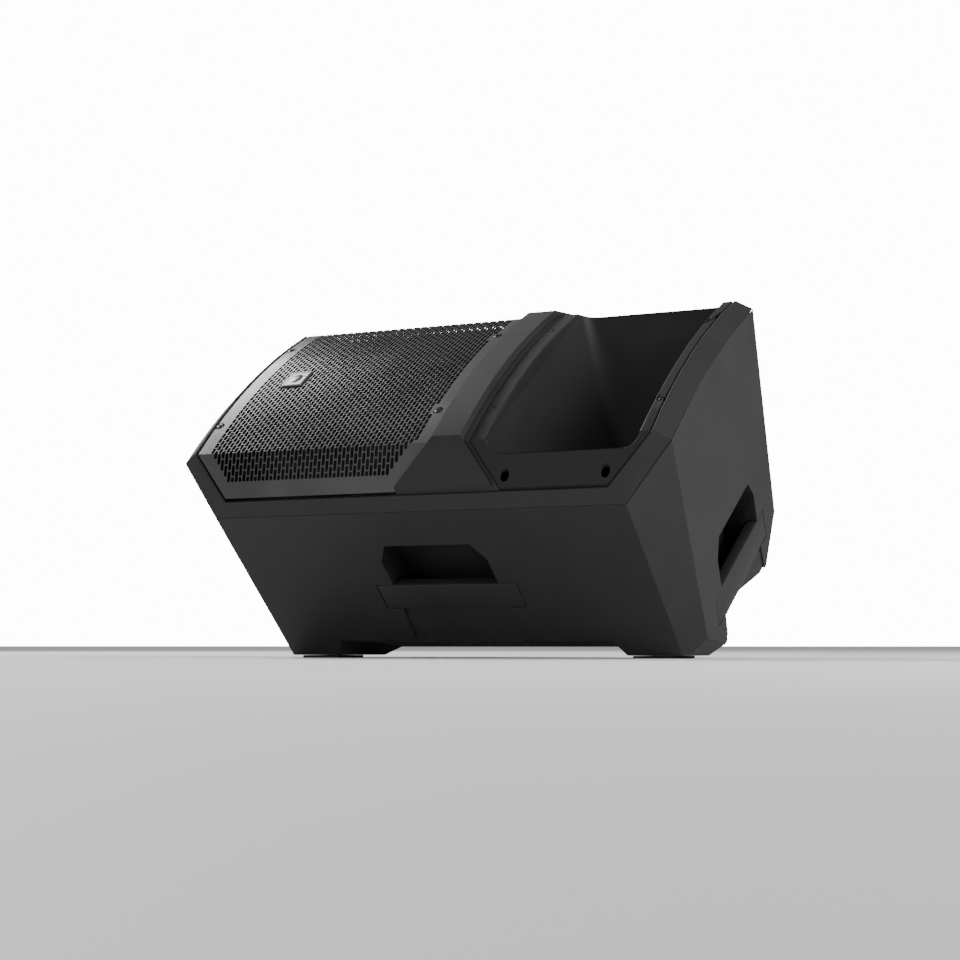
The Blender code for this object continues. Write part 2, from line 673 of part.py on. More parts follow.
def make_woofer():
    rim = BAFFLE[1] + GAP
    basket = ((RIM_RADIUS, rim), (RIM_RADIUS, rim + 4.0), (131.0, rim + 4.0), (89.0, -52.0), (89.0, -55.0),
              (81.0, -55.0), (78.0, -72.0), (34.5, -72.0), (34.5, -76.0), (80.0, -76.0), (84.0, -58.0),
              (93.0, -57.0), (136.0, rim))
    frame = add("woofer_basket", turned(WOOFER, basket, loop=True), basket_grey)
    for i in range(6):
        angle = math.radians(60.0 * i + 30.0)
        window = [(40.0, -15.0), (170.0, -46.0), (170.0, 46.0), (40.0, 15.0)]
        outline = []
        for a, b in window:
            outline.append((WOOFER[0] + a * math.cos(angle) - b * math.sin(angle),
                            WOOFER[1] + a * math.sin(angle) + b * math.cos(angle)))
        cut(frame, upright(outline, -48.0, -2.0))

    add("woofer_top_plate", turned(WOOFER, ((33.8, -76.3), (72.0, -76.3), (72.0, -84.0), (33.8, -84.0)),
                                   loop=True), zinc)
    add("woofer_magnet", turned(WOOFER, ((42.0, -84.3), (75.0, -84.3), (75.0, -104.0), (42.0, -104.0)),
                                loop=True), ferrite)
    pole = ((10.0, -76.3), (29.5, -76.3), (29.5, -104.3), (72.0, -104.3), (72.0, -112.0), (10.0, -112.0))
    add("woofer_back_plate", turned(WOOFER, pole, loop=True), zinc)

    coil_at = (WOOFER[0], WOOFER[1], -44.0)
    coil = ((30.6, -40.0), (32.4, -40.0), (32.4, -88.0), (30.6, -88.0))
    add("woofer_voice_coil", turned(WOOFER, coil, loop=True), copper, coil_at)
    cone = ((NECK_RADIUS, cone_n(NECK_RADIUS)), (104.0, cone_n(104.0)), (CONE_RADIUS, 10.6),
            (CONE_RADIUS, 12.4), (103.0, 12.4), (NECK_RADIUS, cone_n(NECK_RADIUS) + 2.6))
    add("woofer_cone", turned(WOOFER, cone, loop=True), paper, coil_at)
    dome = []
    steps = 4
    for i in range(steps):
        angle = math.radians(90.0 * i / steps)
        dome.append((46.0 * math.cos(angle), cone_n(46.0) + 3.4 + 12.0 * math.sin(angle)))
    inner = [(radius - 1.2, n - 1.0) for radius, n in reversed(dome)]
    cap = [(46.0, cone_n(46.0) + 3.2)] + dome[1:]
    cap += [(1.0, dome[0][1] + 12.2), (1.0, dome[0][1] + 11.0)] + inner
    add("woofer_dust_cap", turned(WOOFER, cap, loop=True), paper, coil_at)

    over, under = [], []
    for i in range(7):
        angle = math.radians(180.0 - 30.0 * i)
        over.append((121.5 + 11.5 * math.cos(angle), 14.4 + 10.0 * math.sin(angle)))
        under.append((121.5 + 10.3 * math.cos(angle), 13.6 + 9.6 * math.sin(angle)))
    roll = [(103.5, 12.8), (103.5, 13.8)] + over + [(136.5, 14.7), (136.5, 13.6)]
    roll += under[::-1] + [(108.0, 12.8)]
    add("woofer_surround", turned(WOOFER, roll, loop=True), rubber)
    waves = []
    for i in range(9):
        waves.append((36.0 + 5.5 * i, -53.6 + 1.4 * (-1.0) ** i))
    top = [(33.0, -53.0)] + waves + [(88.4, -53.6)]
    spider = top + [(radius, n - 0.9) for radius, n in reversed(top)]
    add("woofer_spider", turned(WOOFER, spider, 30, loop=True), cloth)
    edge = RIM_RADIUS - 1.0
    ring = ((137.2, rim + 4.3), (edge, rim + 4.3), (edge, rim + 6.8), (137.2, rim + 6.8))
    add("woofer_trim_ring", turned(WOOFER, ring, loop=True), foam)


# ---------------------------------------------------------------- rear panel


def rectangle(centre, size):
    u, v = centre
    a, b = size[0] / 2.0, size[1] / 2.0
    return [(u - a, v - b), (u + a, v - b), (u + a, v + b), (u - a, v + b)]


def latch_place(centre):
    return (centre[0], centre[1] + 17.0)


def make_panel():
    panel = add("amp_panel", upright(rectangle(PANEL, PANEL_SIZE), PANEL_FACE, PANEL_BACK), panel_black)
    holes = [turned(centre, ((12.6, -240.0), (12.6, -210.0)), 24) for centre in (*INPUTS.values(), OUTPUT)]
    holes += [upright(rectangle(latch_place(c), (9.4, 5.6)), -240.0, -210.0) for c in INPUTS.values()]
    holes += [post(ENCODER, 3.6, -240.0, -210.0)]
    holes += [upright(rectangle(SWITCH, (19.6, 27.6)), -240.0, -210.0)]
    holes += [upright(rectangle(INLET, (27.6, 21.6)), -240.0, -210.0)]
    cut(panel, *holes)

    seal = add("amp_panel_gasket", upright(rectangle(PANEL, (298.0, 138.0)), -223.5, LEDGE - GAP), foam)
    cut(seal, upright(rectangle(PANEL, (284.0, 124.0)), -230.0, -215.0))

    sink = add("heat_sink", box((-30.0, 55.0), (-58.0, 58.0), (-223.5, -219.0)), aluminium)
    cut(sink, box((-34.0, 4.0), (-60.0, -8.0), (-226.0, -180.0)))
    for i in range(6):
        u = 8.0 + 8.6 * i
        join(sink, box((u, u + 2.4), (-58.0, 58.0), (-220.0, -198.0)))

    board = add("amplifier_board", box((-180.0, -40.0), (-58.0, 58.0), (-190.0, -188.4)), board_green)
    join(board, box((-170.0, -120.0), (-30.0, 10.0), (-189.0, -166.0)))
    join(board, box((-105.0, -65.0), (-40.0, -10.0), (-189.0, -172.0)))
    join(board, box((-150.0, -60.0), (22.0, 34.0), (-189.0, -176.0)))
    supply = add("power_supply_board", box((-28.0, 56.0), (-58.0, 58.0), (-194.0, -192.4)), board_green)
    join(supply, turned((5.0, -20.0), ((24.0, -193.0), (24.0, -164.0)), 24))
    join(supply, turned((38.0, 30.0), ((12.0, -193.0), (12.0, -158.0)), 16))
    join(supply, turned((8.0, 36.0), ((12.0, -193.0), (12.0, -158.0)), 16))


def socket(name, centre, latch):
    face = PANEL_FACE - GAP
    outline = rectangle((centre[0], centre[1] + 3.5), (27.0, 37.0))
    body = add(name, upright(outline, face - 2.6, face), panel_black)
    join(body, turned(centre, ((12.2, face - 1.0), (12.2, -198.0)), 24))
    cut(body, turned(centre, ((9.4, -240.0), (9.4, -206.0)), 24))
    if latch:
        cut(body, upright(rectangle(latch_place(centre), (9.4, 5.6)), -240.0, -210.0))
    return body


def make_controls():
    face = PANEL_FACE - GAP
    for name, centre in INPUTS.items():
        socket(name + "_socket", centre, True)
        place = latch_place(centre)
        tab = add(name + "_latch", upright(rectangle(place, (8.6, 4.8)), -234.0, -219.0), nickel,
                  (place[0], place[1], -226.0))
        round_edges(tab, 0.6, 1)
    socket("mix_output_socket", OUTPUT, False)

    glass = add("display_window", upright(rectangle(DISPLAY, (58.0, 30.0)), face - 1.6, face), display_glass)
    round_edges(glass, 0.5, 1)

    body = add("encoder_body", upright(rectangle(ENCODER, (13.0, 13.0)), -223.5, -216.0), zinc)
    cut(body, post(ENCODER, 3.5, -230.0, -210.0))
    origin = (ENCODER[0], ENCODER[1], PANEL_FACE)
    add("encoder_shaft", turned(ENCODER, ((3.0, -235.0), (3.0, -212.0)), 16), zinc, origin)
    knob = ((10.6, -229.4), (11.4, -231.0), (10.8, -237.6), (9.6, -238.6), (3.3, -238.6), (3.3, -229.4))
    add("encoder_knob", turned(ENCODER, knob, 24, loop=True), knob_black, origin)

    outline = rectangle(SWITCH, (24.0, 32.0))
    surround = add("power_switch_frame", upright(outline, face - 2.0, face), panel_black)
    join(surround, upright(rectangle(SWITCH, (19.0, 27.0)), face - 1.0, -214.0))
    cut(surround, upright(rectangle(SWITCH, (15.0, 23.0)), -236.0, -217.0))
    tilt = math.radians(-8.0)
    profile = ((-10.6, -2.5), (10.6, -2.5), (10.6, 3.4), (0.0, 2.2), (-10.6, 3.4))
    pivot = (SWITCH[0], SWITCH[1], PANEL_FACE)
    rings = []
    for u in (SWITCH[0] - 7.0, SWITCH[0] + 7.0):
        ring = []
        for y, z in profile:
            across = y * math.cos(tilt) - z * math.sin(tilt)
            out = y * math.sin(tilt) + z * math.cos(tilt)
            ring.append((u, SWITCH[1] + across, PANEL_FACE - out))
        rings.append(ring)
    add("power_switch_rocker", skin(rings), knob_black, pivot)

    inlet = add("mains_inlet", upright(rectangle(INLET, (34.0, 27.0)), face - 2.2, face), panel_black)
    join(inlet, upright(rectangle(INLET, (27.0, 21.0)), face - 1.0, -200.0))
    cut(inlet, upright(rectangle(INLET, (23.0, 16.5)), -236.0, -205.0))


make_cabinet()
make_handles()
make_feet()
make_pole_cup()
make_front()
make_ports()
make_grille()
make_screws()
make_badge()
make_horn()
make_driver()
make_woofer()
make_panel()
make_controls()
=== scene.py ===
import math

import bmesh
import bpy
from mathutils import Matrix, Vector
from mathutils.bvhtree import BVHTree
from mathutils.geometry import delaunay_2d_cdt


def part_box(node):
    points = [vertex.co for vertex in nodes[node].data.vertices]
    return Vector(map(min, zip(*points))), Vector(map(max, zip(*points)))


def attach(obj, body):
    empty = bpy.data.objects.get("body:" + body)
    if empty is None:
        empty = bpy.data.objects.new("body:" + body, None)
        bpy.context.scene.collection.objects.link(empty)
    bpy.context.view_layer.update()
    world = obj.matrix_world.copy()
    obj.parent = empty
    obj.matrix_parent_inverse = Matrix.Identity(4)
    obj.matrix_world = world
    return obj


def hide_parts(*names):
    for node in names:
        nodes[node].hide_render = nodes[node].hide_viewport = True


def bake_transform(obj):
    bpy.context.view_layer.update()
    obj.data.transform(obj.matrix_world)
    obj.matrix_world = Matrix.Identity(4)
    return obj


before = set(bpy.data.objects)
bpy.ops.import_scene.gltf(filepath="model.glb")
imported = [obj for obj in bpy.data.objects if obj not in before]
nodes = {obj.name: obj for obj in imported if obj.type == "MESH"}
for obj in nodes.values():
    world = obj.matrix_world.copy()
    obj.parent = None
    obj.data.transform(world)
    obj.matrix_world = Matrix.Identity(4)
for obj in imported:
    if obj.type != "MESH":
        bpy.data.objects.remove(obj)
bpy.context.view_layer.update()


# ---------------------------------------------------------------- cabinet
# One injection-moulded shell of black polypropylene with a fine pebble grain. The mould
# leaves every corner slightly rounded; handle pockets, feet and the amplifier bay are
# part of the moulding.

MM = 0.001
LEAN = Matrix.Translation((0.000702, -0.043296, 0.256857)) @ Matrix.Rotation(math.radians(36.0), 4, "X")


def finish(name, dark, light, rough, grain, relief, metal=0.0, specular=0.5, coat=0.0, patch=16.0):
    """A finish with two uneven tones, uneven gloss and a fine relief; grain and relief in mm."""
    made = bpy.data.materials.new(name)
    made.use_nodes = True
    tree = made.node_tree
    shader = tree.nodes["Principled BSDF"]
    shader.inputs["Metallic"].default_value = metal
    shader.inputs["Specular IOR Level"].default_value = specular
    shader.inputs["Coat Weight"].default_value = coat
    shader.inputs["Coat Roughness"].default_value = 0.25
    place = tree.nodes.new("ShaderNodeTexCoord")

    tone = tree.nodes.new("ShaderNodeTexNoise")
    tone.inputs["Scale"].default_value = patch
    tone.inputs["Detail"].default_value = 5.0
    tree.links.new(place.outputs["Object"], tone.inputs["Vector"])
    ramp = tree.nodes.new("ShaderNodeValToRGB")
    ramp.color_ramp.elements[0].position = 0.36
    ramp.color_ramp.elements[0].color = (*dark, 1.0)
    ramp.color_ramp.elements[1].position = 0.64
    ramp.color_ramp.elements[1].color = (*light, 1.0)
    tree.links.new(tone.outputs["Fac"], ramp.inputs["Fac"])
    tree.links.new(ramp.outputs["Color"], shader.inputs["Base Color"])

    gloss = tree.nodes.new("ShaderNodeMapRange")
    gloss.inputs["From Min"].default_value = 0.3
    gloss.inputs["From Max"].default_value = 0.7
    gloss.inputs["To Min"].default_value = rough - 0.05
    gloss.inputs["To Max"].default_value = rough + 0.05
    tree.links.new(tone.outputs["Fac"], gloss.inputs["Value"])
    tree.links.new(gloss.outputs["Result"], shader.inputs["Roughness"])

    pebble = tree.nodes.new("ShaderNodeTexNoise")
    pebble.inputs["Scale"].default_value = 1.0 / (grain * MM)
    pebble.inputs["Detail"].default_value = 2.0
    tree.links.new(place.outputs["Object"], pebble.inputs["Vector"])
    bump = tree.nodes.new("ShaderNodeBump")
    bump.inputs["Strength"].default_value = 0.6
    bump.inputs["Distance"].default_value = relief * MM
    tree.links.new(pebble.outputs["Fac"], bump.inputs["Height"])
    tree.links.new(bump.outputs["Normal"], shader.inputs["Normal"])
    return made


def softened(node, name, radius=0.0, sharp=32.0):
    """A copy of a CAD solid with whole flat faces and corners rounded over by radius mm."""
    mesh = nodes[node].data.copy()
    mesh.name = name
    piece = bpy.data.objects.new(name, mesh)
    bpy.context.scene.collection.objects.link(piece)
    bm = bmesh.new()
    bm.from_mesh(mesh)
    bmesh.ops.remove_doubles(bm, verts=bm.verts, dist=0.02 * MM)
    bmesh.ops.dissolve_limit(bm, angle_limit=math.radians(0.5), verts=bm.verts, edges=bm.edges)
    bm.to_mesh(mesh)
    bm.free()
    mesh.shade_smooth()
    mesh.set_sharp_from_angle(angle=math.radians(sharp))
    if radius:
        rounding = piece.modifiers.new("mould radius", "BEVEL")
        rounding.width = radius * MM
        rounding.segments = 2
        rounding.limit_method = "ANGLE"
        rounding.angle_limit = math.radians(sharp)
        rounding.use_clamp_overlap = False
        rounding.harden_normals = True
        shown = piece.evaluated_get(bpy.context.evaluated_depsgraph_get())
        rounded = bpy.data.meshes.new_from_object(shown)
        piece.modifiers.clear()
        piece.data = rounded
        low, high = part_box(node)  # no rounded corner may stand outside its solid
        skin = BVHTree.FromPolygons([v.co for v in mesh.vertices], [p.vertices for p in mesh.polygons])
        for vert in rounded.vertices:
            point, normal = skin.find_nearest(vert.co)[:2]
            if (vert.co - point).dot(normal) > 0.3 * radius * MM:
                vert.co = point
            vert.co = Vector([max(a, min(b, c)) for a, b, c in zip(low, high, vert.co)])
    return piece


def dress(piece, material, slot, *stands_for, body="cabinet"):
    """Gives a piece its finish and the body that it moves with."""
    piece.data.materials.clear()
    piece.data.materials.append(material)
    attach(piece, body)
    if stands_for:
        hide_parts(*stands_for)
    return piece


moulding = finish("pebbled_black_plastic", (0.0125, 0.0125, 0.0128), (0.0165, 0.0165, 0.017),
                  0.66, 0.8, 0.07, specular=0.35)
dress(softened("cabinet_shell", "cabinet_moulding", 0.8), moulding, "textured_black_moulding",
      "cabinet_shell")


# ---------------------------------------------------------------- front frame
# A separate moulding screwed to the shell: it carries the woofer, the horn, the two
# ports and the raised bar between grille and horn, and closes over the seam.

dress(softened("front_baffle", "front_frame_moulding", 0.6), moulding, "textured_black_moulding",
      "front_baffle")


# ---------------------------------------------------------------- handles
# Three hard grips, clipped flush into the handle pockets of the long walls and of
# the horn end.

for wall in ("near", "far", "right"):
    dress(softened(wall + "_handle_grip", wall + "_grip_moulding", 0.4), moulding,
          "textured_black_moulding", wall + "_handle_grip")


# ---------------------------------------------------------------- feet
# Flat rubber pads glued under the four feet for use on the floor, and four round
# rubber feet on the woofer end for use standing upright.

rubber = finish("black_rubber", (0.012, 0.012, 0.012), (0.02, 0.02, 0.02), 0.78, 0.5, 0.06, specular=0.3)
for side in ("near", "far"):
    for end in ("left", "right"):
        node = f"{side}_{end}_floor_pad"
        dress(softened(node, f"{side}_{end}_pad_rubber", 0.5), rubber, "black_rubber", node)
for i in range(1, 5):
    dress(softened(f"end_foot_{i}", f"end_foot_rubber_{i}", 0.6), rubber, "black_rubber", f"end_foot_{i}")


# ---------------------------------------------------------------- pole socket
# A die-cast cup let into the woofer end for a 35 mm stand pole.

cast = finish("cast_aluminium", (0.20, 0.20, 0.20), (0.28, 0.28, 0.28), 0.5, 0.6, 0.04, metal=1.0)
dress(softened("pole_socket", "pole_cup_casting", 0.7), cast, "cast_aluminium", "pole_socket")


# ---------------------------------------------------------------- grille
# 1.6 mm steel sheet punched with staggered slots, bent down at both long edges and
# powder coated satin black. The slots end on a slanted line in each corner.

BEND_V = 136.0
CROWN = (58.6, 12.0)
BEND_SLOPE = 40.6 / 39.0
COLUMN_PITCH = 5.06
FIRST_COLUMN = -253.0
BEND_ROW = 15.5
ROW_PITCH_PAST_BEND = 9.35
HALF_BRIDGE = 0.48
SLOT_HALF = 1.95
SLOT_CORNER = 1.25
LAST_ROW = 18.0
SHEET_EDGE = ((-271.8, 25.2), (-229.4, -14.8))
SHEET_HALF = 171.6
GRILLE_SCREWS = ((11.0, -82.0), (11.0, 82.0), (-268.0, -87.0), (-268.0, 87.0))
DIMPLE = 5.5


def front_height(v):
    """Height of the crowned front above the frame's seam plane, in mm."""
    if abs(v) <= BEND_V:
        return CROWN[0] + CROWN[1] * (1.0 - (v / BEND_V) ** 2)
    return CROWN[0] - (abs(v) - BEND_V) * BEND_SLOPE


def row_v(row):
    """Place across the grille of a row line; rows lie a little wider past the bends."""
    past = max(0.0, abs(row) - BEND_ROW)
    return math.copysign(min(abs(row), BEND_ROW) * BEND_V / BEND_ROW + past * ROW_PITCH_PAST_BEND, row)


def slot_places():
    """The column and both ends of every slot; alternate columns are half a row apart."""
    places = []
    for column in range(53):
        u = FIRST_COLUMN + COLUMN_PITCH * column
        first = -LAST_ROW if column % 2 else -LAST_ROW - 0.5
        for k in range(37):
            low = row_v(max(-LAST_ROW, first + k)) + HALF_BRIDGE
            high = row_v(min(LAST_ROW, first + k + 1.0)) - HALF_BRIDGE
            past = max(0.0, max(abs(low), abs(high)) - BEND_V)
            clear = all(math.hypot(u - a, (low + high) / 2.0 - b) > 10.0 for a, b in GRILLE_SCREWS)
            if high - low > 2.5 and clear and -255.5 + past * 1.05 < u < 8.5 - past * 1.4:
                places.append((u, low, high))
    return places


def slot_outline(u, low, high):
    """A slot with rounded corners, with a point halfway up each straight side."""
    arm = (high - low) / 2.0 - SLOT_CORNER
    middle = (low + high) / 2.0
    points = []
    for turn, su, sv in ((0, 1, 1), (90, -1, 1), (180, -1, -1), (270, 1, -1)):
        if su == sv:
            points.append((u + su * SLOT_HALF, middle))
        for i in range(4):
            a = math.radians(turn + 30.0 * i)
            points.append((u + su * (SLOT_HALF - SLOT_CORNER) + SLOT_CORNER * math.cos(a),
                           middle + sv * arm + SLOT_CORNER * math.sin(a)))
    return points


def punched_sheet(name, thickness):
    """The flat blank is triangulated between its slots and then bent to shape."""
    points, edges = [], []

    def ring(loop):
        first = len(points)
        points.extend(Vector(p) for p in loop)
        edges.extend((first + i, first + (i + 1) % len(loop)) for i in range(len(loop)))

    steps = [BEND_V * (i / 16.0 - 1.0) for i in range(33)]
    outline = [(SHEET_EDGE[1][0], -SHEET_HALF), (SHEET_EDGE[1][1], -SHEET_HALF)]
    outline += [(SHEET_EDGE[0][1], v) for v in steps]
    outline += [(SHEET_EDGE[1][1], SHEET_HALF), (SHEET_EDGE[1][0], SHEET_HALF)]
    outline += [(SHEET_EDGE[0][0], -v) for v in steps]
    ring(outline)
    for v in (-BEND_V, BEND_V):
        points.extend((Vector((SHEET_EDGE[0][0], v)), Vector((SHEET_EDGE[0][1], v))))
        edges.append((len(points) - 2, len(points) - 1))
    columns = {}
    for u, low, high in slot_places():
        ring(slot_outline(u, low, high))
        columns.setdefault(round((u - FIRST_COLUMN) / COLUMN_PITCH), []).append((low, high))
    for u, v in GRILLE_SCREWS:
        ring([(u + DIMPLE * math.cos(math.radians(15.0 * i)), v + DIMPLE * math.sin(math.radians(15.0 * i)))
              for i in range(24)])
    found, _, faces, *_ = delaunay_2d_cdt(points, edges, [], 0, 1e-4)

    def punched_away(p):
        column = round((p[0] - FIRST_COLUMN) / COLUMN_PITCH)
        across = max(0.0, abs(p[0] - FIRST_COLUMN - column * COLUMN_PITCH) - (SLOT_HALF - SLOT_CORNER))
        for low, high in columns.get(column, ()):
            along = max(0.0, abs(p[1] - (low + high) / 2.0) - (high - low) / 2.0 + SLOT_CORNER)
            if math.hypot(across, along) < SLOT_CORNER - 0.01:
                return True
        return any(math.hypot(p[0] - u, p[1] - v) < DIMPLE - 0.05 for u, v in GRILLE_SCREWS)

    def in_sheet(p):
        share = max(0.0, abs(p[1]) - BEND_V) / (SHEET_HALF - BEND_V)
        left = SHEET_EDGE[0][0] + share * (SHEET_EDGE[1][0] - SHEET_EDGE[0][0])
        right = SHEET_EDGE[0][1] + share * (SHEET_EDGE[1][1] - SHEET_EDGE[0][1])
        return abs(p[1]) < SHEET_HALF and left < p[0] < right

    bm = bmesh.new()
    verts = [bm.verts.new((p[0], p[1], front_height(p[1]) - 0.4)) for p in found]
    for face in faces:
        centre = sum((found[i] for i in face), Vector((0.0, 0.0))) / len(face)
        if in_sheet(centre) and not punched_away(centre):
            bm.faces.new([verts[i] for i in face])
    bmesh.ops.delete(bm, geom=[v for v in bm.verts if not v.link_faces], context="VERTS")
    bmesh.ops.recalc_face_normals(bm, faces=bm.faces)
    if sum(face.normal.z for face in bm.faces) < 0.0:
        bmesh.ops.reverse_faces(bm, faces=bm.faces)
    bm.transform(LEAN @ Matrix.Scale(MM, 4))
    mesh = bpy.data.meshes.new(name)
    bm.to_mesh(mesh)
    bm.free()
    piece = bpy.data.objects.new(name, mesh)
    bpy.context.scene.collection.objects.link(piece)
    depth = piece.modifiers.new("sheet thickness", "SOLIDIFY")
    depth.thickness = thickness * MM
    depth.offset = -1.0
    # The slot walls made by the thickness take the second material, which is painted shade in the slots.
    depth.material_offset_rim = 1
    return piece


powder = finish("satin_black_powder_coat", (0.024, 0.025, 0.025), (0.032, 0.033, 0.033), 0.3, 0.5, 0.015,
                specular=0.55)
# Painted shade: the slot walls get a darker, rougher copy of the powder coat that stands in for the shade
# inside the punched slots.
painted_shade_slot_walls = finish("powder_coat_painted_shade_in_slots", (0.006, 0.006, 0.006), (0.009, 0.009, 0.009), 0.7, 0.5, 0.02,
                    specular=0.2)
grille = dress(punched_sheet("punched_grille_sheet", 1.6), powder, "grille_powder_coat", "woofer_grille")
grille.data.materials.append(painted_shade_slot_walls)


# ---------------------------------------------------------------- screws
# Blackened pan-head screws with a six-lobe drive: four hold the grille, four the
# horn face and four sit deep in the horn's counterbores.

def lathe(profile, sides):
    """Rings of points about the local z axis from (radius, height, lobes) values in mm."""
    bm = bmesh.new()
    rings = []
    for radius, height, lobes in profile:
        ring = []
        for i in range(sides):
            a = 2.0 * math.pi * i / sides
            r = radius * (1.0 + lobes * math.cos(6.0 * a))
            ring.append(bm.verts.new((r * math.cos(a), r * math.sin(a), height)))
        rings.append(ring)
    for low, high in zip(rings, rings[1:]):
        for i in range(sides):
            j = (i + 1) % sides
            bm.faces.new((low[i], low[j], high[j], high[i]))
    bm.faces.new(rings[0][::-1])
    bm.faces.new(rings[-1])
    return bm


def placed(name, bm, matrix):
    """Turns a body given in mm into a piece at a place on the leaning cabinet."""
    bmesh.ops.recalc_face_normals(bm, faces=bm.faces)
    bm.transform(LEAN @ Matrix.Scale(MM, 4) @ matrix)
    mesh = bpy.data.meshes.new(name)
    bm.to_mesh(mesh)
    bm.free()
    mesh.shade_smooth()
    mesh.set_sharp_from_angle(angle=math.radians(35.0))
    piece = bpy.data.objects.new(name, mesh)
    bpy.context.scene.collection.objects.link(piece)
    return piece


def screw_shape(head, shank, length):
    """Pan head seated at height 0 with a six-lobe recess."""
    k = head / 4.6
    return lathe((
        (shank * 0.5, -length, 0.0), (shank, -length + 1.5, 0.0), (shank, 0.0, 0.0), (head, 0.0, 0.0),
        (head, 0.7, 0.0), (head * 0.96, 1.3, 0.0), (head * 0.84, 1.8, 0.0), (head * 0.66, 2.15, 0.0),
        (2.05 * k, 2.2, 0.17), (1.95 * k, 2.05, 0.17), (1.75 * k, 0.5, 0.17), (0.5 * k, 0.3, 0.0),
    ), 48)


blackened = finish("blackened_screw_steel", (0.014, 0.014, 0.014), (0.024, 0.024, 0.024), 0.38, 0.6, 0.01,
                   metal=0.4)
for kind, head, shank, length, places in (
    ("grille_screw", 4.6, 1.8, 12.0, GRILLE_SCREWS),
    ("horn_screw", 2.9, 1.3, 14.5, ((78.0, -85.0), (78.0, 85.0), (269.3, -85.0), (269.3, 85.0))),
    ("horn_deep_screw", 4.2, 1.9, 15.0, ((114.0, -162.0), (227.0, -162.0), (114.0, 162.0), (227.0, 162.0))),
):
    for i, (u, v) in enumerate(places):
        seat = {"grille_screw": front_height(v) - 2.0, "horn_screw": front_height(v) - 2.3,
                "horn_deep_screw": 17.3}[kind]
        piece = placed(f"{kind}_head_{i + 1}", screw_shape(head, shank, length),
                       Matrix.Translation((u, v, seat)) @ Matrix.Rotation(0.5 * i, 4, "Z"))
        dress(piece, blackened, "blackened_screws", f"{kind}_{i + 1}")


# ---------------------------------------------------------------- badge
# A plain brushed plate with a raised rim, riveted to the grille; it carries no mark.

def plate(name, centre, size, corner, heights, inset, rim=0.0):
    """A plate with rounded corners and a bevelled upper edge, sunk by rim inside its border."""
    def outline(shrink, height):
        points = []
        a, b = size[0] / 2.0 - shrink, size[1] / 2.0 - shrink
        r = max(0.05, corner - shrink)
        for k, (su, sv) in enumerate(((1, 1), (-1, 1), (-1, -1), (1, -1))):
            for i in range(7):
                t = math.radians(90.0 * k + 15.0 * i)
                points.append((centre[0] + su * (a - r) + r * math.cos(t),
                               centre[1] + sv * (b - r) + r * math.sin(t), height))
        return points

    low, high = heights
    loops = [outline(0.0, low), outline(0.0, high - inset), outline(inset * 0.4, high - inset * 0.3),
             outline(inset, high)]
    if rim:
        loops += [outline(inset + 1.2, high), outline(inset + 1.5, high - rim)]
    bm = bmesh.new()
    rings = [[bm.verts.new(p) for p in loop] for loop in loops]
    for lower, upper in zip(rings, rings[1:]):
        for i in range(28):
            j = (i + 1) % 28
            bm.faces.new((lower[i], lower[j], upper[j], upper[i]))
    bm.faces.new(rings[0][::-1])
    bm.faces.new(rings[-1])
    return placed(name, bm, Matrix.Identity(4))


brushed = finish("brushed_badge_plate", (0.22, 0.22, 0.22), (0.32, 0.32, 0.32), 0.4, 0.4, 0.01, metal=1.0)
dark_field = finish("badge_dark_enamel", (0.012, 0.012, 0.012), (0.02, 0.02, 0.02), 0.3, 0.6, 0.01)
dress(plate("badge_plate_plain", (-211.5, 2.5), (26.0, 31.0), 2.0, (70.9, 72.2), 0.4, rim=0.4), brushed,
      "badge_plate", "grille_badge")
dress(plate("badge_backing", (-211.5, 2.5), (29.0, 35.0), 2.5, (70.0, 71.0), 0.3), moulding, "badge_plate")
dress(plate("badge_inlay", (-211.5, 2.5), (13.0, 17.0), 6.0, (71.7, 72.0), 0.1), dark_field, "badge_plate")


# ---------------------------------------------------------------- horn
# One moulding: flared rectangular horn, face strip and driver flange in smoother
# black plastic than the cabinet.

horn_plastic = finish("horn_black_plastic", (0.0075, 0.0075, 0.008), (0.010, 0.010, 0.0105),
                      0.62, 0.6, 0.05, specular=0.3)
horn = softened("horn_waveguide", "horn_moulding", sharp=30.0)
bm = bmesh.new()
bm.from_mesh(horn.data)
lip = bm.edges.layers.float.new("bevel_weight_edge")
MOUTH_U = 176.0
MOUTH_HALF = (90.5, 152.0)
for edge in bm.edges:
    ends = [LEAN.inverted() @ vert.co / MM for vert in edge.verts]
    at_mouth = all(abs(p.z - front_height(p.y) + 0.4) < 0.9 and abs(p.x - MOUTH_U) < MOUTH_HALF[0]
                   and abs(p.y) < MOUTH_HALF[1]
                   and (abs(p.x - MOUTH_U) > 74.0 or abs(p.y) > 136.0) for p in ends)
    if at_mouth and len(edge.link_faces) == 2 and edge.calc_face_angle() > 0.4:
        middle = (abs(ends[0].y) + abs(ends[1].y)) / 2.0
        edge[lip] = 1.0 if middle > 147.0 else 0.3
bm.to_mesh(horn.data)
bm.free()
for name, width, steps, limit in (("mouth lip", 4.5, 4, "WEIGHT"), ("mould radius", 0.6, 2, "ANGLE")):
    rounding = horn.modifiers.new(name, "BEVEL")
    rounding.width = width * MM
    rounding.segments = steps
    rounding.limit_method = limit
    rounding.angle_limit = math.radians(30.0)
    rounding.use_clamp_overlap = False
    rounding.harden_normals = True
dress(horn, horn_plastic, "horn_black_moulding", "horn_waveguide")


# ---------------------------------------------------------------- ports
# Two plain tubes behind the grille let the woofer's back wave out.

for side in ("near", "far"):
    dress(softened(side + "_port_tube", side + "_port_moulding", 0.4), horn_plastic,
          "horn_black_moulding", side + "_port_tube")


# ---------------------------------------------------------------- compression driver
# Ferrite ring motor with a moulded rear cap, screwed to the horn's throat flange.

